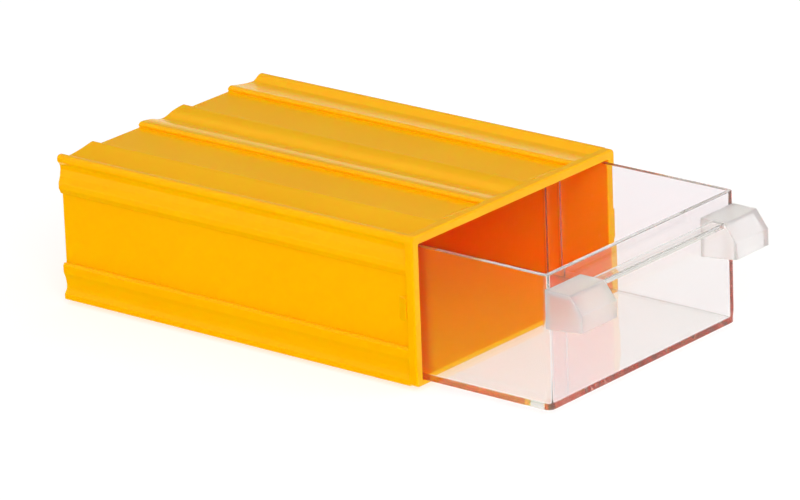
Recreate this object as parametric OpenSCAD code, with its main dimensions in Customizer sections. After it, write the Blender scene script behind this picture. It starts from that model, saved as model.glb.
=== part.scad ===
// Stackable drawer box for small parts: an opaque moulded casing with interlocking
// rails, and a clear moulded drawer with a hooded pull handle that slides in it.
// Millimetres. X runs left to right seen from the front, Y from front to rear, Z up.
// The origin is on the plane that the box stands on, at the middle of its footprint
// with the drawer drawn part of the way out.

/* [Casing] */
// Width of the casing over its side rails
casing_w = 115; // [112:0.5:130]
// Depth of the casing, front collar to back face
casing_d = 164; // [150:1:200]
// Height of the casing, bottom panel to the tips of the top rails
casing_h = 55.2; // [54:0.2:70]
// Thickness of the recessed side panels and of the right wall
side_wall = 1.5; // [1.2:0.1:1.8]
// Thickness of the recessed top panels
top_wall = 1.3; // [1.1:0.1:1.6]
// Thickness of the bottom panel
floor_wall = 2.0; // [1.6:0.1:2.1]
// Thickness of the back wall
back_wall = 1.8; // [1.4:0.1:2.5]

/* [Collar] */
// Depth of the raised frame round the mouth
collar_d = 3.5; // [2.5:0.1:5]
// Radius of the collar's four long corners
collar_r = 1.8; // [0.8:0.1:2.5]
// Rounding of the collar's front edge
collar_edge = 0.7; // [0.3:0.1:1]

/* [Rails and grooves] */
// Depth of the grooves between the rails
groove_depth = 1.9; // [1.6:0.1:2.1]
// Width of each groove in the top, between the rail tips
top_groove_w = 23.4; // [21:0.1:25]
// Width of the centre rail on the top
centre_rail_w = 26.6; // [24:0.2:28]
// Distance from the casing's edge to the inner tip of a side rail
side_rail_w = 15.0; // [14.6:0.1:15.6]
// How far the male rails stand out of the casing
male_out = 1.6; // [1.2:0.1:1.7]
// Width of the short tongue at the front of the side rail
tongue_w = 10.6; // [9:0.2:12]
// Width of the latch ramps in the top grooves
latch_w = 11.8; // [8:0.2:14]
// Height of the latch ramps behind the collar
latch_h = 1.2; // [0.8:0.1:1.4]

/* [Drawer] */
// Outer width of the drawer
drawer_w = 107.4; // [104:0.2:107.4]
// Outer length of the drawer, without its handle
drawer_l = 161.5; // [147:0.5:161.6]
// Height of the drawer from its underside to its rim
drawer_h = 49.0; // [46:0.2:49.2]
// Thickness of the drawer's walls
drawer_wall = 2.0; // [1.6:0.1:2.4]
// Thickness of the drawer's floor
drawer_floor = 1.9; // [1.6:0.1:2.6]
// How far the drawer stands out of the casing at rest
drawer_out = 55.4; // [0:0.2:120]
// Radius of the drawer's outer upright corners
corner_r = 2.2; // [1.5:0.1:3]
// Radius of the drawer's inner upright corners
inner_r = 0.4; // [0.3:0.1:3]
// Bevel where the drawer's walls meet its floor
floor_bevel = 0.4; // [0.2:0.1:1]

/* [Handle] */
// How far the handle stands out of the drawer's front
handle_out = 14.8; // [12:0.2:16]
// Depth of the flat top of the handle
handle_top = 9.8; // [8:0.2:11]
// Length of each hooded end of the handle
hood_w = 19.4; // [16:0.1:24]
// Height of the hooded ends, top face to the lower edge of the lip
hood_h = 12.8; // [10:0.2:16]
// Drop of the sloping front of the hoods
hood_slope = 6.5; // [4:0.1:8]
// Distance from the drawer's rim down to the top of the handle
handle_drop = 5.0; // [3:0.1:8]
// Thickness of the handle's plates
handle_t = 2.0; // [1.6:0.1:2.4]
// Width of the slot between the centre bar and the drawer's front
slot_w = 4.6; // [4:0.1:5]

/* [Divider guides] */
// Distance between the two guide ribs on each side wall
rib_gap = 6.6; // [4:0.2:14]
// How far the middle of the pair is in front of the drawer's middle
rib_shift = 1.3; // [0:0.1:10]
// Width of a guide rib
rib_w = 1.1; // [0.8:0.1:1.6]
// Height of a guide rib off the wall
rib_h = 0.9; // [0.6:0.1:1.5]

/* [Hidden] */

hw = casing_w / 2;
// recessed faces of the left wall and the top, and the inner faces of the cavity
x_rec = hw - groove_depth;
z_rec = casing_h - groove_depth - 0.1;
x_in = x_rec - side_wall;
z_in = z_rec - top_wall;
x_rw = x_in + side_wall + 0.4;          // outer face of the right wall
cy0 = -(casing_d - drawer_out - handle_out) / 2; // front plane of the casing
rise = male_out;                        // casing stands this far up on its rails
groove_c = centre_rail_w / 2 + top_groove_w / 2; // middle of each top groove
z_dr = floor_wall + 0.1;                // underside of the drawer
y_stop = collar_d + 5.1;                // front ends of the long male rails

// ---------- 2-D helpers: fillets and arcs as computed points ----------
function unit(v) = v / norm(v);
function cross2(a, b) = a[0] * b[1] - a[1] * b[0];
// points of a fillet of radius r at corner b between a and c
function fillet(a, b, c, r, n) =
    r <= 0 ? [[b[0], b[1]]] :
    let (p = [b[0], b[1]], u = unit([a[0], a[1]] - p), v = unit([c[0], c[1]] - p),
         th = acos(max(-1, min(1, u * v))))
    th > 179 ? [p] :
    let (d = r / tan(th / 2), q1 = p + u * d, q2 = p + v * d,
         o = p + unit(u + v) * (r / sin(th / 2)),
         s = atan2(q1[1] - o[1], q1[0] - o[0]),
         w = (cross2(q1 - o, q2 - o) > 0 ? 1 : -1) * (180 - th))
    [for (i = [0:n]) o + r * [cos(s + w * i / n), sin(s + w * i / n)]];
// outline from [x, z, radius] corners
function rounded(P, n = 5) =
    [for (i = [0:len(P) - 1]) each fillet(P[(i + len(P) - 1) % len(P)], P[i], P[(i + 1) % len(P)], P[i][2], n)];
function box_pts(w0, w1, h0, h1, r) = [[w0, h0, r], [w1, h0, r], [w1, h1, r], [w0, h1, r]];

// ---------- the casing's outline behind the collar ----------
// the casing sits higher on its left groove than half way: the lower side rail is narrower
low_rail_w = side_rail_w - 0.8;
zc = (casing_h - side_rail_w + low_rail_w) / 2; // mid height of the side groove
g = casing_h - z_rec;
ct = centre_rail_w / 2;
tip_in = ct + top_groove_w;
// centre rail: a wave with rounded tips that overhang its flanks, hollow in the middle
cr = ct - 3.4;
centre_top = [for (i = [0:20]) let (x = cr * (1 - i / 10))
    [x, z_rec + g * (1 - cos(180 * pow(abs(x) / cr, 1.15))) / 2, 0]];
// corner rail: rounded inner tip, long hollow, and a narrow lip at the corner
lip_in = hw - 1.9;
hol = hw - 6.3;
dip = g - 0.2;
function corner_top() = concat(
    [[hw, casing_h, 1.3]],
    [for (i = [0:5]) let (t = i / 6) [lip_in + (hol - lip_in) * t, casing_h - dip * (1 - cos(180 * t)) / 2, 0]],
    [for (i = [0:8]) let (t = i / 9) [hol - (hol - tip_in - 2.1) * t, casing_h - dip + dip * pow(t, 1.5), 0]],
    [[tip_in + 1.5, casing_h, 0.9], [tip_in, casing_h - 0.9, 0.6], [tip_in + 0.7, z_rec, 0.3]]);
// side rail w wide: [distance from the edge, inset, radius]. Its flank slopes by f to a lip at
// the inset d, then falls back under it by u, so that the groove is a shallow dovetail
function rail_pts(w, f, d, u) = [[2.3, 0, 0.9], [3.8, 1.2, 1.2], [5.4, 1.45, 2.2], [8.2, 0.95, 5],
    [10.4, 0.05, 2.5], [w - f, 0, f / 2.2], [w, d, 0.4], [w - u, groove_depth, 0.3]];
// narrow lips at the corners of the right wall, whose flat lies at x
function lip_pts(x) = [[2.3, 0, 0.9], [3.6, 0.9, 1.0], [5.0, hw - x, 0.8]];
function up(P, s) = [for (p = P) [s * (hw - p[1]), p[0], p[2]]];
function down(P, s) = [for (i = [len(P) - 1:-1:0]) [s * (hw - P[i][1]), casing_h - P[i][0], P[i][2]]];
function rev(P) = [for (i = [len(P) - 1:-1:0]) P[i]];
function neg(P) = [for (i = [len(P) - 1:-1:0]) [-P[i][0], P[i][1], P[i][2]]];
// counter-clockwise from the lower right corner
body_outline = rounded(concat(
    [[hw, 0, 0.8]], up(lip_pts(x_rw), 1), down(lip_pts(x_rw), 1),
    corner_top(),
    [[ct - 0.7, z_rec, 0.3], [ct, casing_h - 0.9, 0.6], [ct - 1.5, casing_h, 0.9]],
    centre_top,
    [[1.5 - ct, casing_h, 0.9], [-ct, casing_h - 0.9, 0.6], [0.7 - ct, z_rec, 0.3]],
    neg(corner_top()),
    rev(down(rail_pts(side_rail_w, 2.4, 1.1, 0.7), -1)), rev(up(rail_pts(low_rail_w, 1.0, 0.7, 0.6), -1)),
    [[-hw, 0, 0.8]]), 4);

// ---------- 3-D helpers ----------
// extrude an (x, z) outline along Y from y0 to y1
module along_y(y0, y1, pts) {
    translate([0, y1, 0]) rotate([90, 0, 0]) linear_extrude(y1 - y0) polygon(pts);
}
// extrude a (y, z) outline along X from x0 to x1
module along_x(x0, x1, pts) {
    translate([x0, 0, 0]) rotate([90, 0, 90]) linear_extrude(x1 - x0) polygon(pts);
}
module slab(x0, x1, y0, y1, z0, z1) {
    translate([x0, y0, z0]) cube([x1 - x0, y1 - y0, z1 - z0]);
}

// ---------- casing ----------
module collar() {
    e = collar_edge;
    hull() {
        along_y(0, 0.01, rounded(box_pts(-hw + e, hw - e, e, casing_h - e, collar_r - e + 0.2), 6));
        along_y(e * 0.3, e * 0.3 + 0.01, rounded(box_pts(-hw + e * 0.3, hw - e * 0.3, e * 0.3, casing_h - e * 0.3, collar_r - e * 0.3), 6));
        along_y(e, collar_d, rounded(box_pts(-hw, hw, 0, casing_h, collar_r), 6));
    }
}

// male rail on the right wall, which runs in the left groove of the next box
module side_male() {
    h1 = (casing_h - side_rail_w - low_rail_w) / 2 - 0.1;
    h0 = h1 - 1.5;
    x1 = hw + male_out - 0.1;
    along_y(y_stop, casing_d - 0.6, rounded([
        [x_rw - 0.5, zc - h0 - 0.1, 0], [x_rw, zc - h0, 0], [x1, zc - h1, 0.5],
        [x1, zc + h1, 0.5], [x_rw, zc + h0, 0], [x_rw - 0.5, zc + h0 + 0.1, 0]], 4));
    // tongue that reaches the front, square above and chamfered below
    t0 = zc - 0.2 - tongue_w / 2;
    t1 = zc - 0.2 + tongue_w / 2;
    along_y(0, y_stop + 1, rounded([
        [x_rw - 0.5, t0 - 2.6, 0], [x1, t0, 0.3], [x1, t1, 0.3], [x_rw - 0.5, t1 + 0.35, 0]], 3));
}

// two male rails under the floor, which run in the top grooves of the box below
module bottom_male() {
    h1 = top_groove_w / 2 + 0.3;
    h0 = h1 - 0.6;
    for (s = [-1, 1])
        along_y(y_stop, casing_d - 0.6, rounded([
            [s * groove_c - h0, 0.4, 0], [s * groove_c - h0, 0, 0], [s * groove_c - h1, -male_out, 0.4],
            [s * groove_c + h1, -male_out, 0.4], [s * groove_c + h0, 0, 0], [s * groove_c + h0, 0.4, 0]], 4));
}

// latch ramps just behind the collar: one in each top groove, one in the side groove
module latches() {
    for (s = [-1, 1])
        along_x(s * groove_c - latch_w / 2, s * groove_c + latch_w / 2, [
            [collar_d + 4.8, z_rec - 0.5], [collar_d + 4.8, z_rec + 0.05],
            [collar_d + 1.4, z_rec + latch_h], [collar_d + 0.7, z_rec + latch_h],
            [collar_d + 0.5, z_rec + 0.0], [collar_d + 0.5, z_rec - 0.5]]);
    translate([0, 0, zc - 3.7]) linear_extrude(8.7) polygon([
        [-x_rec + 0.5, collar_d + 4.8], [-x_rec + 0.5, collar_d + 0.5], [-x_rec, collar_d + 0.5],
        [-x_rec - latch_h, collar_d + 0.7], [-x_rec - latch_h, collar_d + 1.4], [-x_rec - 0.05, collar_d + 4.8]]);
}

module casing() {
    color("#f8b400") translate([0, cy0, rise]) difference() {
        union() {
            collar();
            along_y(collar_d - 0.5, casing_d, body_outline);
            side_male();
            bottom_male();
            latches();
        }
        // the drawer's cavity
        along_y(-1, casing_d - back_wall, rounded(box_pts(-x_in, x_in, floor_wall, z_in, 0.6), 3));
    }
}

// ---------- drawer ----------
function plan(w0, w1, l0, l1, r) = rounded([[w0, l0, r], [w1, l0, r], [w1, l1, r], [w0, l1, r]], 6);

// hooded end of the handle between x0 and x1: top, sloping front, lip and two end walls
module hood(x0, x1) {
    zt = drawer_h - handle_drop;
    outer = rounded([[0.5, zt, 0], [-handle_top, zt, 1.2], [-handle_out, zt - hood_slope, 1.2],
        [-handle_out, zt - hood_h, 0.5], [0.5, zt - hood_h - 1.2, 0]], 5);
    t = handle_t;
    inner = rounded([[-0.0, zt - t, 0.6], [-handle_top + 0.85, zt - t, 0.6],
        [-handle_out + t, zt - hood_slope - 0.7, 0.6], [-handle_out + t, zt - hood_h - 5, 0], [0, zt - hood_h - 5, 0]], 4);
    difference() {
        along_x(x0, x1, outer);
        along_x(x0 + t, x1 - t, inner);
    }
}

module drawer() {
    hd = drawer_w / 2;
    w = drawer_wall;
    zt = drawer_h - handle_drop;
    color([0.93, 0.93, 0.94, 0.45]) translate([0, cy0 - drawer_out, rise + z_dr]) {
        difference() {
            linear_extrude(drawer_h) polygon(plan(-hd, hd, 0, drawer_l, corner_r));
            // hollow with a bevel round its floor
            hull() {
                b = floor_bevel;
                translate([0, 0, drawer_floor]) linear_extrude(0.01)
                    polygon(plan(-hd + w + b, hd - w - b, w + b, drawer_l - w - b, inner_r));
                translate([0, 0, drawer_floor + b]) linear_extrude(drawer_h)
                    polygon(plan(-hd + w, hd - w, w, drawer_l - w, inner_r));
            }
        }
        // guide ribs for a divider, a pair on each side wall
        for (sx = [-1, 1], k = [-1, 1])
            slab(sx > 0 ? hd - w - rib_h : -hd + w - 0.3, sx > 0 ? hd - w + 0.3 : -hd + w + rib_h,
                drawer_l / 2 - rib_shift + k * rib_gap / 2 - rib_w / 2, drawer_l / 2 - rib_shift + k * rib_gap / 2 + rib_w / 2,
                drawer_floor + 0.6, drawer_h - 1.5);
        // handle: a hood at each end and a flat bar between them
        hood(-hd, -hd + hood_w);
        hood(hd - hood_w, hd);
        slab(-hd + hood_w - 0.5, hd - hood_w + 0.5, -handle_top, -slot_w, zt - handle_t, zt);
    }
}

casing();
drawer();
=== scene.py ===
import math

import bmesh
import bpy
import numpy as np
from mathutils import Matrix, Vector


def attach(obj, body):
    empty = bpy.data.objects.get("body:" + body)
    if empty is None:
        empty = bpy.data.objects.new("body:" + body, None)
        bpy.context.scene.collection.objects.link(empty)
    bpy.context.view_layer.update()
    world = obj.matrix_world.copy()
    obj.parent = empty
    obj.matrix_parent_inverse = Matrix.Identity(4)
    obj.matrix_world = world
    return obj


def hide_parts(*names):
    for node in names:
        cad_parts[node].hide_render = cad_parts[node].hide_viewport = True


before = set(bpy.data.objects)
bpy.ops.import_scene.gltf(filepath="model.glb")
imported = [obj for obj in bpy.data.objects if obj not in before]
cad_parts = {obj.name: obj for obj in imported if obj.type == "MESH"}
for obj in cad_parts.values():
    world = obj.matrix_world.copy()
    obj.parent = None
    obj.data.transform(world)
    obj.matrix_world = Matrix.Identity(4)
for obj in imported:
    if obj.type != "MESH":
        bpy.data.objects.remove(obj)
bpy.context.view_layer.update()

# Sizes in millimetres, the same as the CAD model's. "Casing coordinates" have y = 0 on the
# casing's front plane and z = 0 on its bottom panel; place() moves them into the row frame.
HW, H, D = 57.5, 55.2, 164.0
REC_X, REC_Z, RIGHT_X = 55.6, 53.2, 56.0
IN_X, IN_Z0, IN_Z1, IN_BACK = 54.1, 2.0, 51.9, 162.2
FRONT_Y, RISE = -46.9, 1.6
GROOVE_C = 25.0


def place(points):
    p = np.asarray(points, float).reshape(-1, 3) + (0.0, FRONT_Y, RISE)
    return p * 0.001


# ---------------------------------------------------------------- mesh helpers
def fillet_path(verts, n=6):
    """verts: (a, b, c, r): a point, the coordinate it has on the collar, and its radius. Ends are kept."""
    out = [np.array(verts[0][:3], float)]
    for i in range(1, len(verts) - 1):
        p = np.array(verts[i][:2], float)
        r = verts[i][3]
        if r == 0:
            out.append(np.array(verts[i][:3], float))
            continue
        a, b = np.array(verts[i - 1][:2], float), np.array(verts[i + 1][:2], float)
        la, lb = np.linalg.norm(a - p), np.linalg.norm(b - p)
        u, v = (a - p) / la, (b - p) / lb
        th = math.acos(max(-1.0, min(1.0, float(u @ v))))
        if th > math.radians(178.5):
            d = min(r, 0.45 * la, 0.45 * lb)
            arc = [p + u * d + (v - u) * d * k / n for k in range(n + 1)]
        else:
            d = min(r / math.tan(th / 2), 0.48 * la, 0.48 * lb)
            r = d * math.tan(th / 2)
            q1, q2 = p + u * d, p + v * d
            o = p + (u + v) / np.linalg.norm(u + v) * (r / math.sin(th / 2))
            s = math.atan2(*(q1 - o)[::-1])
            cr = (q1 - o)[0] * (q2 - o)[1] - (q1 - o)[1] * (q2 - o)[0]
            w = (1 if cr > 0 else -1) * (math.pi - th)
            arc = [o + r * np.array([math.cos(s + w * k / n), math.sin(s + w * k / n)]) for k in range(n + 1)]
        c0 = verts[i][2] + (verts[i - 1][2] - verts[i][2]) * d / la
        c1 = verts[i][2] + (verts[i + 1][2] - verts[i][2]) * d / lb
        for k, q in enumerate(arc):
            out.append(np.array([q[0], q[1], c0 + (c1 - c0) * k / n]))
    out.append(np.array(verts[-1][:3], float))
    return out


def corner_arc(cx, cz, r, start, n):
    return [(cx + r * math.cos(start + math.pi / 2 * k / n), cz + r * math.sin(start + math.pi / 2 * k / n)) for k in range(n + 1)]


def in_normals(pts):
    """Inward unit normals of a counter-clockwise closed outline."""
    t = np.roll(pts, -1, 0) - np.roll(pts, 1, 0)
    t /= np.maximum(np.linalg.norm(t, axis=1, keepdims=True), 1e-9)
    return np.stack([-t[:, 1], t[:, 0]], 1)


def loft(name, rings, caps=(True, True)):
    """Closed rings of the same number of 3-D points, joined by quads, with an n-gon over each end."""
    n = len(rings[0])
    bm = bmesh.new()
    rows = [[bm.verts.new(p) for p in ring] for ring in rings]
    for a, b in zip(rows, rows[1:]):
        for i in range(n):
            j = (i + 1) % n
            bm.faces.new((a[i], a[j], b[j], b[i]))
    if caps[0]:
        bm.faces.new(list(reversed(rows[0])))
    if caps[1]:
        bm.faces.new(rows[-1])
    bmesh.ops.recalc_face_normals(bm, faces=bm.faces)
    return to_object(name, bm)


def to_object(name, bm):
    me = bpy.data.meshes.new(name)
    bm.to_mesh(me)
    bm.free()
    ob = bpy.data.objects.new(name, me)
    bpy.context.scene.collection.objects.link(ob)
    return ob


def smooth_by_angle(ob, degrees):
    bm = bmesh.new()
    bm.from_mesh(ob.data)
    limit = math.radians(degrees)
    for f in bm.faces:
        f.smooth = True
    for e in bm.edges:
        e.smooth = len(e.link_faces) == 2 and e.calc_face_angle(0.0) < limit
    bm.to_mesh(ob.data)
    bm.free()
    mod = ob.modifiers.new("normals", "WEIGHTED_NORMAL")
    mod.mode = "FACE_AREA"
    mod.weight = 60
    mod.keep_sharp = True


# ---------------------------------------------------------------- casing
NC = 8           # segments in a corner of the outline
SEC = {}         # section slices, filled by outline()


def outline(rails, latch):
    """The casing's outline behind the collar, counter-clockwise from the lower right corner.
    rails: the long male rails are there (else only the tongue); latch: height of the latch ramps."""
    parts, coords = [], []

    def add(key, pts, cs):
        SEC[key] = (sum(len(p) for p in parts), sum(len(p) for p in parts) + len(pts))
        parts.append(np.array(pts, float))
        coords.append(np.array(cs, float))

    def side(key, verts, swap):
        # verts as (x, z, r[, c]); c defaults to the coordinate along the side
        full = []
        for v in verts:
            c = v[3] if len(v) > 3 else (v[1] if swap else v[0])
            full.append((v[0], v[1], c, v[2]))
        out = fillet_path(full)[1:-1]
        add(key, [o[:2] for o in out], [o[2] for o in out])

    rb, rt = 0.8, 1.3
    add("LR", corner_arc(HW - rb, rb, rb, -math.pi / 2, NC), [0] * (NC + 1))
    if rails:
        rail = [(RIGHT_X, 15.8, 0.3), (59.0, 14.3, 0.4), (59.0, 40.1, 0.4), (RIGHT_X, 38.6, 0.3)]
    else:
        rail = [(RIGHT_X, 19.5, 0.3), (59.0, 21.7, 0.35), (59.0, 32.2, 0.35), (RIGHT_X, 32.5, 0.3)]
    side("R", [(HW, rb, 0), (HW, 2.3, 0.9), (HW - 0.9, 3.6, 1.0), (RIGHT_X, 5.0, 0.8)] + rail +
         [(RIGHT_X, H - 5.0, 0.8), (HW - 0.9, H - 3.6, 1.0), (HW, H - 2.3, 0.9), (HW, H - rt, 0)], True)
    add("UR", corner_arc(HW - rt, H - rt, rt, 0, NC), [0] * (NC + 1))

    ct, tip = 13.3, 36.7
    lip, hol, dip, g = HW - 1.9, HW - 6.3, 1.8, H - REC_Z
    corner = [(lip + (hol - lip) * t, H - dip * (1 - math.cos(math.pi * t)) / 2, 0) for t in np.arange(14) / 14]
    corner += [(hol - (hol - tip - 2.1) * t, H - dip + dip * t ** 1.5, 0) for t in np.arange(18) / 18]
    corner += [(tip + 1.5, H, 0.9), (tip, H - 0.9, 0.55, tip - 0.2)]
    e = 5.9
    floor = [(tip + 0.7, REC_Z, 0.3, tip - 0.7), (GROOVE_C + e + 0.12, REC_Z, 0), (GROOVE_C + e - 0.05, REC_Z + latch * 0.5, 0),
             (GROOVE_C + e - 0.3, REC_Z + latch, 0), (GROOVE_C - e + 0.3, REC_Z + latch, 0),
             (GROOVE_C - e + 0.05, REC_Z + latch * 0.5, 0), (GROOVE_C - e - 0.12, REC_Z, 0), (ct - 0.7, REC_Z, 0.3, ct + 0.7)]
    # the centre rail is hollow: a gentle slope inside each crest, then a steeper one down to the middle
    cr = ct - 2.5
    right = corner + floor + [(ct, H - 0.9, 0.5, ct + 0.2), (ct - 1.2, H, 0.7)]
    a = np.linspace(0, cr, 109)
    drop = np.interp(a, [0, 2.2, 4.2, 6.2, cr], [0, 0.25, 0.36, 0.19, 0.07])
    rise = np.concatenate([[0], np.cumsum((drop[1:] + drop[:-1]) / 2)])
    wave = [(x, REC_Z + g * np.interp(abs(x), a, rise / rise[-1]), 0) for x in cr * (1 - np.arange(55) / 27)]

    def mirror(vs):
        return [(-v[0], v[1], v[2]) + ((-v[3],) if len(v) > 3 else ()) for v in reversed(vs)]

    side("T", [(HW - rt, H, 0)] + right + wave + mirror(right) + [(-HW + rt, H, 0)], False)
    add("UL", corner_arc(-HW + rt, H - rt, rt, math.pi / 2, NC), [0] * (NC + 1))

    def left(rows, z):
        return [(-(HW - v[1]), z(v[0]), v[2]) + ((v[3],) if len(v) > 3 else ()) for v in rows]

    low = [(2.3, 0, 0.9), (3.8, 1.2, 1.2), (5.4, 1.45, 2.2), (8.2, 0.95, 4.5), (10.4, 0.05, 2.5)]
    upper = left(low + [(12.6, 0, 1.2), (15.0, 1.1, 0.45, 39.8), (14.3, 1.9, 0.3, 39.0)], lambda v: H - v)
    lower = left(list(reversed(low + [(13.2, 0, 0.6), (14.2, 0.7, 0.4, 14.4), (13.6, 1.9, 0.3, 14.8)])), lambda v: v)
    z0, z1 = 23.5, 32.2
    panel = [(-REC_X, z1 + 0.12, 0), (-REC_X - latch * 0.5, z1 - 0.05, 0), (-REC_X - latch, z1 - 0.3, 0),
             (-REC_X - latch, z0 + 0.3, 0), (-REC_X - latch * 0.5, z0 + 0.05, 0), (-REC_X, z0 - 0.12, 0)]
    side("L", [(-HW, H - rt, 0)] + upper + panel + lower + [(-HW, rb, 0)], True)
    add("LL", corner_arc(-HW + rb, rb, rb, math.pi, NC), [0] * (NC + 1))

    bottom = []
    for s in (-1, 1):
        if rails:
            bottom += [(s * GROOVE_C - 11.4, 0, 0.25), (s * GROOVE_C - 12.0, -1.6, 0.35), (s * GROOVE_C + 12.0, -1.6, 0.35), (s * GROOVE_C + 11.4, 0, 0.25)]
        else:
            bottom += [(s * GROOVE_C - 12.6, 0, 0.25), (s * GROOVE_C - 12.0, 0, 0.35), (s * GROOVE_C + 12.0, 0, 0.35), (s * GROOVE_C + 12.6, 0, 0.25)]
    side("B", [(-HW + rb, 0, 0)] + bottom + [(HW - rb, 0, 0)], False)
    return np.concatenate(parts), np.concatenate(coords)


def frame_outline(cs, x0, x1, z0, z1, r, ends=3.0):
    """The rounded rectangle that the collar or the cavity has, with one point for each point of the outline."""
    out = np.zeros((len(cs), 2))
    centres = {"LR": (x1 - r, z0 + r, -math.pi / 2), "UR": (x1 - r, z1 - r, 0), "UL": (x0 + r, z1 - r, math.pi / 2), "LL": (x0 + r, z0 + r, math.pi)}
    for key, (cx, cz, s) in centres.items():
        a, b = SEC[key]
        out[a:b] = corner_arc(cx, cz, r, s, NC)
    for key, lo, hi in (("R", z0, z1), ("L", z0, z1), ("T", x0, x1), ("B", x0, x1)):
        a, b = SEC[key]
        c = cs[a:b]
        full = (0.0, H) if key in "RL" else (-HW, HW)
        m = np.interp(c, [full[0] + 0.8, full[0] + ends + 2, full[1] - ends - 2, full[1] - 1.3 if key in "RLT" else full[1] - 0.8],
                      [lo + r, lo + ends + 2, hi - ends - 2, hi - r])
        # keep the points in order and apart
        step = 1 if key in "RB" else -1
        m = m * step
        for i in range(1, len(m)):
            m[i] = max(m[i], m[i - 1] + 0.004)
        m = m * step
        if key in "RL":
            out[a:b, 0] = x1 if key == "R" else x0
            out[a:b, 1] = m
        else:
            out[a:b, 0] = m
            out[a:b, 1] = z1 if key == "T" else z0
    return out


def build_casing():
    body_t, cs = outline(False, 0.0)
    body_r, _ = outline(True, 0.0)
    collar = frame_outline(cs, -HW, HW, 0, H, 1.8)
    with_tongue = collar.copy()
    a, b = SEC["R"]
    with_tongue[a:b, 0] = np.maximum(HW, body_t[a:b, 0])
    tongue = with_tongue[:, 0] > HW + 0.02
    with_tongue[tongue, 1] = body_t[tongue, 1]

    def cavity(inset):
        return frame_outline(cs, -IN_X + inset, IN_X - inset, IN_Z0 + inset, IN_Z1 - inset, max(0.6 - inset, 0.25) if inset < 0.5 else 0.6, 4.0)

    def collar_at(inset):
        return frame_outline(cs, -HW + inset, HW - inset, inset, H - inset, 1.8 - inset)

    rings = []

    def ring(outline2d, y):
        rings.append(place(np.column_stack([outline2d[:, 0], np.full(len(outline2d), y), outline2d[:, 1]])))

    # inside, from the back wall forwards
    for k in range(5):
        th = math.pi / 2 * k / 4
        ring(cavity(0.8 * (1 - math.sin(th))), IN_BACK - 0.8 * (1 - math.cos(th)))
    for y in (120, 80, 40, 12, 2.5, 0.4):
        ring(cavity(0), y)
    for k in range(1, 5):
        th = math.pi / 2 * k / 4
        ring(cavity(-0.4 * (1 - math.cos(th))), 0.4 - 0.4 * math.sin(th))
    # front face, then round the collar's edge
    e = 0.7
    for k in range(0, 8):
        th = math.pi / 2 * k / 7
        ring(collar_at(e * (1 - math.sin(th))), e * (1 - math.cos(th)))
    ring(collar, 0.78)
    step = with_tongue.copy()
    step[tongue, 0] = HW + (with_tongue[tongue, 0] - HW) * 0.82
    ring(step, 0.82)
    ring(with_tongue, 1.05)
    # over the collar's rear edge and down to the rails
    off = with_tongue - body_t
    length = np.linalg.norm(off, axis=1)
    re, rr = 0.35, 0.45
    for y, s in [(3.5 - re + re * math.sin(t), 1 - re * (1 - math.cos(t)) / 1.9) for t in np.linspace(0, math.pi / 2, 6)[:-1]]:
        ring(body_t + off * s, y)
    ring(body_t + off * (1 - re / 1.9), 3.5 + 0.01)
    ring(body_t + off * (rr / 1.9), 3.5 + 0.04)
    for t in np.linspace(0, math.pi / 2, 6)[1:]:
        ring(body_t + off * (rr * (1 - math.sin(t)) / 1.9), 3.54 + rr * (1 - math.cos(t)))
    # latch ramps
    for y, h in ((4.0, 0.0), (4.06, 0.5), (4.12, 1.0), (4.3, 1.18), (4.55, 1.2), (4.8, 1.18), (5.1, 1.08), (6.6, 0.58), (8.1, 0.08), (8.3, 0.0)):
        ring(outline(False, h)[0], y)
    ring(body_t, 8.5)
    ring(body_t + (body_r - body_t) * 0.7, 8.56)
    ring(body_t + (body_r - body_t) * 0.93, 8.62)
    ring(body_r, 8.85)
    for y in (30, 60, 90, 120, 150):
        ring(body_r, y)
    inward = in_normals(body_r)
    rb = 0.28
    for k in range(5):
        th = math.pi / 2 * k / 4
        ring(body_r + inward * rb * (1 - math.cos(th)), D - rb + rb * math.sin(th))
    ob = loft("casing_shell", rings)
    smooth_by_angle(ob, 38)
    return ob


# ---------------------------------------------------------------- drawer
DW, DL, DH, DOUT, DZ = 107.4, 161.5, 49.0, 55.4, 2.1
WALL, FLOOR, R_OUT, R_LOW, R_FOOT, R_IN, R_FLOOR = 2.0, 1.9, 2.0, 2.2, 2.9, 0.4, 0.35
HOOD_X, HOOD_W = 53.7, 19.4


def rounded_rect(x0, x1, y0, y1, r, n=10):
    pts = []
    for cx, cy, s in ((x1 - r, y0 + r, -math.pi / 2), (x1 - r, y1 - r, 0), (x0 + r, y1 - r, math.pi / 2), (x0 + r, y0 + r, math.pi)):
        pts += corner_arc(cx, cy, r, s, n)
    return np.array(pts)


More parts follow.
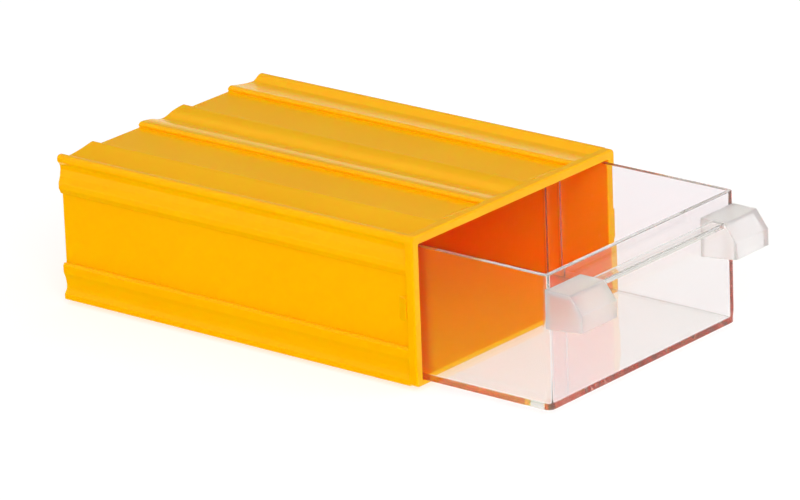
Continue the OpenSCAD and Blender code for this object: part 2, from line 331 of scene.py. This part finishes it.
def build_tub():
    hx = DW / 2
    rings = []

    def ring(inset, z, r):
        p = rounded_rect(-hx + inset, hx - inset, inset, DL - inset, r)
        rings.append(np.column_stack([p[:, 0], p[:, 1], np.full(len(p), z)]))

    eb, er = 0.35, 0.2
    for k in range(5):
        th = math.pi / 2 * k / 4
        ring(eb * (1 - math.sin(th)), eb * (1 - math.cos(th)), R_FOOT - eb * (1 - math.sin(th)))
    # the upright corners are rounder at their feet, and taper upwards
    for k in range(7):
        t = k / 6
        ring(0, FLOOR + 3.0 * t, R_FOOT + (R_LOW - R_FOOT) * t * t * (3 - 2 * t))
    for z in (15, 25, 35):
        ring(0, z, R_LOW + (R_OUT - R_LOW) * (z - FLOOR - 3) / (DH - FLOOR - 3))
    for k in range(6):
        th = math.pi / 2 * k / 5
        ring(er * (1 - math.cos(th)), DH - er + er * math.sin(th), R_OUT - er * (1 - math.cos(th)))
    for k in range(6):
        th = math.pi / 2 * k / 5
        ring(WALL - er * (1 - math.sin(th)), DH - er + er * math.cos(th), R_IN + er * (1 - math.sin(th)))
    # the inner corners are tight at the rim and rounder below it
    for z, r in ((40, 0.6), (33, 0.8), (26, 1.0), (16, 1.0), (6, 0.9)):
        ring(WALL, z, r)
    for k in range(7):
        th = math.pi / 2 * k / 6
        i = R_FLOOR * (1 - math.cos(th))
        ring(WALL + i, FLOOR + R_FLOOR - R_FLOOR * math.sin(th), 0.9 - i)
    return rings


def extrude_x(name, profile, x0, x1):
    bm = bmesh.new()
    a = [bm.verts.new((x0, y, z)) for y, z in profile]
    b = [bm.verts.new((x1, y, z)) for y, z in profile]
    n = len(profile)
    for i in range(n):
        j = (i + 1) % n
        bm.faces.new((a[i], a[j], b[j], b[i]))
    bm.faces.new(list(reversed(a)))
    bm.faces.new(b)
    bmesh.ops.recalc_face_normals(bm, faces=bm.faces)
    return bm


def closed_fillets(verts, n=5):
    """verts: (a, b, r), a closed outline; sharp where r is 0."""
    m = len(verts)
    out = []
    for i in range(m):
        p, q, s = verts[i - 1], verts[i], verts[(i + 1) % m]
        path = fillet_path([(p[0], p[1], 0, 0), (q[0], q[1], 0, q[2]), (s[0], s[1], 0, 0)], n)[1:-1]
        out += [(float(v[0]), float(v[1])) for v in path]
    return out


def rounded_bar(name, profile, x0, x1, r0, r1, n=5):
    """Extrudes a (y, z) outline along x, with its end edges rounded by r0 at x0 and r1 at x1."""
    pts = np.array(profile, float)
    area = 0.5 * np.sum(pts[:, 0] * np.roll(pts[:, 1], -1) - np.roll(pts[:, 0], -1) * pts[:, 1])
    if area < 0:
        pts = pts[::-1]
    inward = in_normals(pts)
    rings = []
    for r, x, s in ((r0, x0, 1), (r1, x1, -1)):
        part = []
        for k in range(n + 1):
            th = math.pi / 2 * k / n
            q = pts + inward * r * (1 - math.sin(th))
            part.append(np.column_stack([np.full(len(q), x + s * r * (1 - math.cos(th))), q]))
            if r == 0:
                break
        rings += part if s > 0 else part[::-1]
    return loft(name, [list(map(tuple, r)) for r in rings])


def boolean(target, tool, how):
    mod = target.modifiers.new("b", "BOOLEAN")
    mod.operation = how
    mod.solver = "EXACT"
    mod.object = tool
    bpy.context.view_layer.update()
    me = bpy.data.meshes.new_from_object(target.evaluated_get(bpy.context.evaluated_depsgraph_get()))
    target.modifiers.remove(mod)
    old = target.data
    target.data = me
    bpy.data.meshes.remove(old)
    tool_mesh = tool.data
    bpy.data.objects.remove(tool)
    bpy.data.meshes.remove(tool_mesh)


def build_drawer():
    hx = DW / 2
    tub = loft("drawer_shell", [list(map(tuple, r)) for r in build_tub()])
    zt, t = DH - 5.0, 2.0
    hoods = []
    out_y, top_y, slope, high = 14.8, 9.8, 6.5, 12.8
    outer = closed_fillets([(1.1, zt, 0), (-top_y, zt, 0.6), (-out_y, zt - slope, 0.6), (-out_y, zt - high, 0.5), (1.1, zt - high - 1.5, 0)])
    inner = closed_fillets([(2.0, zt - t, 0), (-top_y + 0.85, zt - t, 0.8), (-out_y + t, zt - slope - 0.7, 0.8), (-out_y + t, zt - high - 5, 0), (2.0, zt - high - 5, 0)])
    for s in (-1, 1):
        xo, xi = s * HOOD_X, s * (HOOD_X - HOOD_W)
        lo, hi = min(xo, xi), max(xo, xi)
        ro, ri = (0.35, 0.3) if s < 0 else (0.3, 0.35)
        hood = rounded_bar("hood", outer, lo, hi, ro, ri)
        hollow = rounded_bar("hollow", inner, lo + t, hi - t, 0.3, 0.3, 3)
        boolean(hood, hollow, "DIFFERENCE")
        hoods.append(hood)
    bar = closed_fillets([(-9.8, zt, 0.5), (-9.8, zt - t, 0.3), (-4.6, zt - t, 0.3), (-4.6, zt, 0.5)], 4)
    handle = rounded_bar("drawer_handle", bar, -HOOD_X + HOOD_W - 0.5, HOOD_X - HOOD_W + 0.5, 0, 0)
    for hood in hoods:
        boolean(handle, hood, "UNION")
    for sx in (-1, 1):
        for k in (-1, 1):
            y = DL / 2 - 1.3 + k * 3.3
            xa = sx * (hx - WALL)
            rib = closed_fillets([(xa + sx * 0.3, y - 0.55, 0), (xa - sx * 0.9, y - 0.5, 0.2), (xa - sx * 0.9, y + 0.5, 0.2), (xa + sx * 0.3, y + 0.55, 0)], 3)
            bm = bmesh.new()
            a = [bm.verts.new((p[0], p[1], FLOOR + 0.6)) for p in rib]
            b = [bm.verts.new((p[0], p[1], DH - 1.5)) for p in rib]
            n = len(rib)
            for i in range(n):
                j = (i + 1) % n
                bm.faces.new((a[i], a[j], b[j], b[i]))
            bm.faces.new(list(reversed(a)))
            bm.faces.new(b)
            bmesh.ops.recalc_face_normals(bm, faces=bm.faces)
            boolean(tub, to_object("rib", bm), "UNION")
    for ob in (tub, handle):
        bm = bmesh.new()
        bm.from_mesh(ob.data)
        bmesh.ops.remove_doubles(bm, verts=bm.verts, dist=0.002)
        bmesh.ops.dissolve_degenerate(bm, edges=bm.edges, dist=0.002)
        bm.to_mesh(ob.data)
        bm.free()
        me = ob.data
        co = np.zeros(len(me.vertices) * 3)
        me.vertices.foreach_get("co", co)
        co = place(co.reshape(-1, 3) + (0.0, -DOUT, DZ))
        me.vertices.foreach_set("co", co.ravel())
        me.update()
        smooth_by_angle(ob, 30)
    return tub, handle


# ---------------------------------------------------------------- materials
def new_material(name):
    m = bpy.data.materials.new(name)
    m.use_nodes = True
    m.node_tree.nodes.clear()
    return m, m.node_tree.nodes, m.node_tree.links


def casing_material(name, low, high, scale, tint):
    m, n, l = new_material(name)
    out = n.new("ShaderNodeOutputMaterial")
    b = n.new("ShaderNodeBsdfPrincipled")
    l.new(b.outputs[0], out.inputs[0])
    tc = n.new("ShaderNodeTexCoord")
    # slow variation of the pigment, and the mould's fine texture
    slow = n.new("ShaderNodeTexNoise")
    slow.inputs["Scale"].default_value = 22
    slow.inputs["Detail"].default_value = 3
    l.new(tc.outputs["Object"], slow.inputs["Vector"])
    ramp = n.new("ShaderNodeValToRGB")
    ramp.color_ramp.elements[0].position = 0.3
    ramp.color_ramp.elements[0].color = low + (1,)
    ramp.color_ramp.elements[1].position = 0.7
    ramp.color_ramp.elements[1].color = high + (1,)
    l.new(slow.outputs["Fac"], ramp.inputs["Fac"])
    l.new(ramp.outputs["Color"], b.inputs["Base Color"])
    rough = n.new("ShaderNodeMapRange")
    rough.inputs["To Min"].default_value = 0.2
    rough.inputs["To Max"].default_value = 0.3
    l.new(slow.outputs["Fac"], rough.inputs["Value"])
    l.new(rough.outputs["Result"], b.inputs["Roughness"])
    b.inputs["IOR"].default_value = 1.5
    b.inputs["Specular Tint"].default_value = tint + (1,)
    # the thin walls let orange and red light through
    b.subsurface_method = "RANDOM_WALK"
    b.inputs["Subsurface Weight"].default_value = 1.0
    b.inputs["Subsurface Radius"].default_value = (1.0, 0.15, 0.02)
    b.inputs["Subsurface Scale"].default_value = scale
    fine = n.new("ShaderNodeTexNoise")
    fine.inputs["Scale"].default_value = 2600
    fine.inputs["Detail"].default_value = 2
    l.new(tc.outputs["Object"], fine.inputs["Vector"])
    bump = n.new("ShaderNodeBump")
    bump.inputs["Strength"].default_value = 0.04
    bump.inputs["Distance"].default_value = 0.00004
    l.new(fine.outputs["Fac"], bump.inputs["Height"])
    l.new(bump.outputs["Normal"], b.inputs["Normal"])
    return m


def clear_material(name, colour, rough_low, rough_high, clear, tint):
    m, n, l = new_material(name)
    out = n.new("ShaderNodeOutputMaterial")
    b = n.new("ShaderNodeBsdfPrincipled")
    l.new(b.outputs[0], out.inputs[0])
    b.inputs["IOR"].default_value = 1.57
    b.inputs["Transmission Weight"].default_value = clear
    b.inputs["Specular Tint"].default_value = tint + (1,)
    tc = n.new("ShaderNodeTexCoord")
    slow = n.new("ShaderNodeTexNoise")
    slow.inputs["Scale"].default_value = 40
    slow.inputs["Detail"].default_value = 1
    l.new(tc.outputs["Object"], slow.inputs["Vector"])
    rough = n.new("ShaderNodeMapRange")
    rough.inputs["To Min"].default_value = rough_low
    rough.inputs["To Max"].default_value = rough_high
    l.new(slow.outputs["Fac"], rough.inputs["Value"])
    l.new(rough.outputs["Result"], b.inputs["Roughness"])
    # barely visible flow marks of the moulding
    tone = n.new("ShaderNodeMix")
    tone.data_type = "RGBA"
    tone.inputs["A"].default_value = colour + (1,)
    tone.inputs["B"].default_value = tuple(c - 0.01 for c in colour) + (1,)
    l.new(slow.outputs["Fac"], tone.inputs["Factor"])
    l.new(tone.outputs["Result"], b.inputs["Base Color"])
    return m


def floor_material():
    m, n, l = new_material("pale_floor")
    out = n.new("ShaderNodeOutputMaterial")
    b = n.new("ShaderNodeBsdfPrincipled")
    l.new(b.outputs[0], out.inputs[0])
    b.inputs["Base Color"].default_value = (0.45, 0.45, 0.45, 1)
    b.inputs["Roughness"].default_value = 0.9
    b.inputs["Specular IOR Level"].default_value = 0.0
    b.inputs["Emission Color"].default_value = (1.0, 1.0, 1.0, 1)
    b.inputs["Emission Strength"].default_value = 0.615
    m.cycles.emission_sampling = "NONE"
    return m


casing = build_casing()
casing.data.materials.append(casing_material("casing_plastic", (0.905, 0.47, 0.0008), (0.915, 0.49, 0.001), 0.0015, (1.0, 0.55, 0.02)))
# painted light: the same plastic made redder on the inner walls, standing in for the light that bounces between them
# and shines through them
casing.data.materials.append(casing_material("casing_painted_bounce_light", (0.99, 0.31, 0.0008), (0.998, 0.33, 0.001), 0.0015, (1.0, 0.4, 0.1)))
# the cavity's faces take the redder copy: painted bounce light, not a different plastic
for f in casing.data.polygons:
    x, y, z = f.center
    f.material_index = int(abs(x) < (IN_X + 0.2) * 0.001 and FRONT_Y + 0.4 < y * 1000 < FRONT_Y + IN_BACK + 0.1 and IN_Z0 - 0.2 < z * 1000 - RISE < IN_Z1 + 0.2)
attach(casing, "casing")
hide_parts("casing")

drawer, handle = build_drawer()
drawer.data.materials.append(clear_material("clear_plastic", (0.962, 0.955, 0.955), 0.0, 0.02, 0.993, (1.0, 0.93, 0.65)))
# the handle is moulded on, and its surfaces are less polished
handle.data.materials.append(clear_material("clear_plastic_handle", (0.968, 0.965, 0.968), 0.26, 0.33, 0.88, (1.0, 1.0, 1.0)))
handle.data.materials.append(drawer.data.materials[0])
for f in handle.data.polygons:
    f.material_index = int(abs(f.center.x) < (HOOD_X - HOOD_W) * 0.001 - 0.0001)
for ob in (drawer, handle):
    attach(ob, "drawer")
    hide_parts("drawer")

# ---------------------------------------------------------------- floor, light, camera
bm = bmesh.new()
bmesh.ops.create_circle(bm, cap_ends=True, segments=96, radius=6.0)
floor = to_object("floor", bm)
floor.data.materials.append(floor_material())

world = bpy.data.worlds.new("studio")
bpy.context.scene.world = world
world.use_nodes = True
wn, wl = world.node_tree.nodes, world.node_tree.links
wn.clear()
w_out = wn.new("ShaderNodeOutputWorld")
w_bg = wn.new("ShaderNodeBackground")
wl.new(w_bg.outputs[0], w_out.inputs[0])
w_tc = wn.new("ShaderNodeTexCoord")
w_sep = wn.new("ShaderNodeSeparateXYZ")
wl.new(w_tc.outputs["Generated"], w_sep.inputs[0])


def grey_ramp(stops, warm=1.0):
    """Brightness against the sine of the elevation."""
    node = wn.new("ShaderNodeValToRGB")
    node.color_ramp.interpolation = "EASE"
    els = node.color_ramp.elements
    els[0].position, els[0].color = stops[0][0], (stops[0][1],) * 3 + (1,)
    els[1].position, els[1].color = stops[-1][0], (stops[-1][1],) * 3 + (1,)
    for position, grey in stops[1:-1]:
        els.new(position).color = (grey, grey * 0.96, grey * warm, 1)
    wl.new(w_sep.outputs["Z"], node.inputs["Fac"])
    return node


# a light tent: bright in front and above, darker behind above the horizon
w_front = grey_ramp([(0.0, 0.74), (0.5, 0.76), (1.0, 0.98)])
w_back = grey_ramp([(0.0, 1.3), (0.1, 1.2), (0.22, 0.26), (0.5, 0.16), (0.75, 0.85), (1.0, 0.98)], 0.6)
w_dot = wn.new("ShaderNodeVectorMath")
w_dot.operation = "DOT_PRODUCT"
w_dot.inputs[1].default_value = (0.769, 0.640, 0.0)
wl.new(w_tc.outputs["Generated"], w_dot.inputs[0])
w_side = wn.new("ShaderNodeMapRange")
w_side.interpolation_type = "SMOOTHSTEP"
w_side.inputs["From Min"].default_value = 0.35
w_side.inputs["From Max"].default_value = 0.85
wl.new(w_dot.outputs["Value"], w_side.inputs["Value"])
w_mix = wn.new("ShaderNodeMix")
w_mix.data_type = "RGBA"
wl.new(w_side.outputs["Result"], w_mix.inputs["Factor"])
wl.new(w_front.outputs["Color"], w_mix.inputs["A"])
wl.new(w_back.outputs["Color"], w_mix.inputs["B"])
wl.new(w_mix.outputs["Result"], w_bg.inputs["Color"])
w_bg.inputs["Strength"].default_value = 1.0


def area(name, position, target, size, watts, colour=(1, 1, 1)):
    data = bpy.data.lights.new(name, "AREA")
    data.shape = "RECTANGLE"
    data.size, data.size_y = size
    data.energy = watts
    data.color = colour
    ob = bpy.data.objects.new(name, data)
    bpy.context.scene.collection.objects.link(ob)
    ob.location = position
    ob.rotation_euler = (Vector(target) - Vector(position)).to_track_quat("-Z", "Y").to_euler()
    return ob


area("key", (-1.3, -1.3, 1.05), (0, 0, 0.03), (1.0, 1.0), 17)

# a low softbox behind, for the clear drawer only: it brightens the rim, and less so the handle
for ob, watts in ((drawer, 3.0), (handle, 2.2)):
    back = area("back_low", (1.394, 1.160, 0.845), (0, -0.08, 0.05), (1.8, 0.9), watts)
    back.visible_camera = False
    lit = bpy.data.collections.new("lit_" + ob.name)
    lit.objects.link(ob)
    back.light_linking.receiver_collection = lit

# cards on the floor that only the clear drawer mirrors, and the camera doesn't see: beside the casing the floor
# is yellow with the casing's light, and it is white and warm in front of that
def glow_card(name, x0, x1, y0, y1, strength, colour, far=None):
    bm = bmesh.new()
    bm.faces.new([bm.verts.new((x, y, 0.0004)) for x, y in ((x0, y0), (x1, y0), (x1, y1), (x0, y1))])
    card = to_object(name, bm)
    m, n, l = new_material(name)
    out = n.new("ShaderNodeOutputMaterial")
    em = n.new("ShaderNodeEmission")
    em.inputs["Color"].default_value = colour + (1,)
    em.inputs["Strength"].default_value = strength
    l.new(em.outputs[0], out.inputs[0])
    if far:
        tone = n.new("ShaderNodeMix")
        tone.data_type = "RGBA"
        tone.inputs["A"].default_value = far + (1,)
        tone.inputs["B"].default_value = colour + (1,)
        l.new(tone.outputs["Result"], em.inputs["Color"])
        geo = n.new("ShaderNodeNewGeometry")
        sep = n.new("ShaderNodeSeparateXYZ")
        fade = n.new("ShaderNodeMapRange")
        fade.inputs["From Min"].default_value = -0.16
        fade.inputs["From Max"].default_value = -0.085
        l.new(geo.outputs["Position"], sep.inputs[0])
        l.new(sep.outputs["X"], fade.inputs["Value"])
        l.new(fade.outputs["Result"], tone.inputs["Factor"])
    m.cycles.emission_sampling = "NONE"
    card.data.materials.append(m)
    card.visible_camera = card.visible_diffuse = card.visible_shadow = card.visible_volume_scatter = False
    card.light_linking.receiver_collection = bpy.data.collections["lit_" + drawer.name]


glow_card("yellow_glow", -0.19, -0.0577, FRONT_Y * 0.001, 0.3, 1.8, (1.0, 0.95, 0.0), (1.0, 0.5, 0.0))
glow_card("pale_glow", -0.19, -0.0577, -0.24, FRONT_Y * 0.001, 2.0, (0.78, 1.0, 0.8))

cam_data = bpy.data.cameras.new("camera")
cam_data.sensor_width = 36.0
cam_data.sensor_fit = "HORIZONTAL"
cam_data.lens = 276.49
cam_data.clip_start, cam_data.clip_end = 0.05, 50
cam = bpy.data.objects.new("camera", cam_data)
bpy.context.scene.collection.objects.link(cam)
right = Vector((0.62932, -0.77630, -0.03616)).normalized()
forward = Vector((0.72484, 0.60311, -0.33297)).normalized()
up = right.cross(forward).normalized()
right = forward.cross(up).normalized()
m = Matrix((right, up, -forward)).transposed().to_4x4()
m.translation = Vector((-1.58826, -1.31519, 0.75469))
cam.matrix_world = m
bpy.context.scene.camera = cam

scene = bpy.context.scene
scene.view_settings.view_transform = "Standard"
scene.view_settings.look = "None"
scene.cycles.max_bounces = 128
scene.cycles.transmission_bounces = 96
scene.cycles.glossy_bounces = 96
scene.cycles.diffuse_bounces = 32
scene.cycles.blur_glossy = 0.0
scene.cycles.transparent_max_bounces = 16
